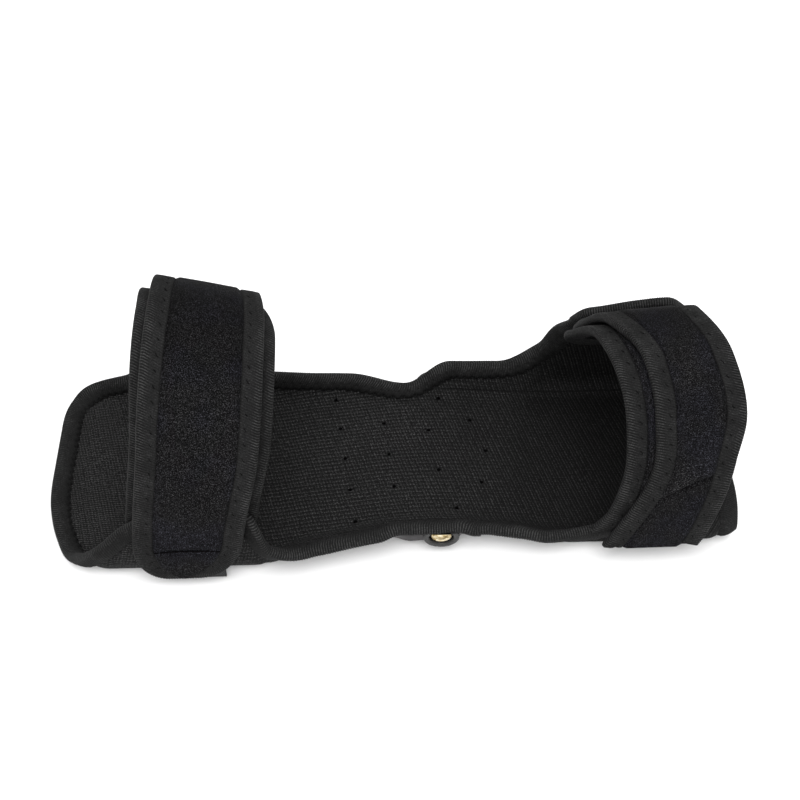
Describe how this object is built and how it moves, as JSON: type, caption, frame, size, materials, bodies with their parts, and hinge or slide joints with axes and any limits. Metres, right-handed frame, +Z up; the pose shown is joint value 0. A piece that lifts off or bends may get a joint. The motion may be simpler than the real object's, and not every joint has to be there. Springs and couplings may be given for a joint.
{
  "type": "spring knee brace",
  "caption": "Padded wrap-around knee brace lying on its back, with plush thigh and calf straps and a round spring hinge on each side of the knee.",
  "frame": {"origin": "on the floor under the middle of the brace's bounding box", "axes": "+X along the leg from thigh to calf, +Y from the near side to the far side, +Z up"},
  "size_m": [0.3431, 0.134, 0.1312],
  "materials": {
    "knit_mesh": "black knitted mesh over thin padding",
    "edge_tape": "black ribbed edge tape",
    "plush": "black brushed loop plush",
    "hook_tape": "black hook tape",
    "hinge_plate": "dark grey satin plate",
    "housing": "black moulded plastic",
    "rivet": "pale brass, satin"
  },
  "bodies": {
    "root": {"liner_panel": "knit_mesh", "panel_binding": "edge_tape", "thigh_under_strap": "plush", "thigh_under_binding": "edge_tape", "thigh_over_strap": "plush", "thigh_over_binding": "edge_tape", "calf_under_strap": "plush", "calf_under_binding": "edge_tape", "calf_over_strap": "plush", "calf_over_binding_left": "edge_tape", "calf_over_binding_right": "edge_tape", "thigh_hook_tab": "hook_tape", "near_thigh_arm": "hinge_plate", "near_calf_arm": "hinge_plate", "far_thigh_arm": "hinge_plate", "far_calf_arm": "hinge_plate", "near_spring_housing": "housing", "far_spring_housing": "housing", "near_hinge_rivet": "rivet", "far_hinge_rivet": "rivet"}
  },
  "joints": []
}
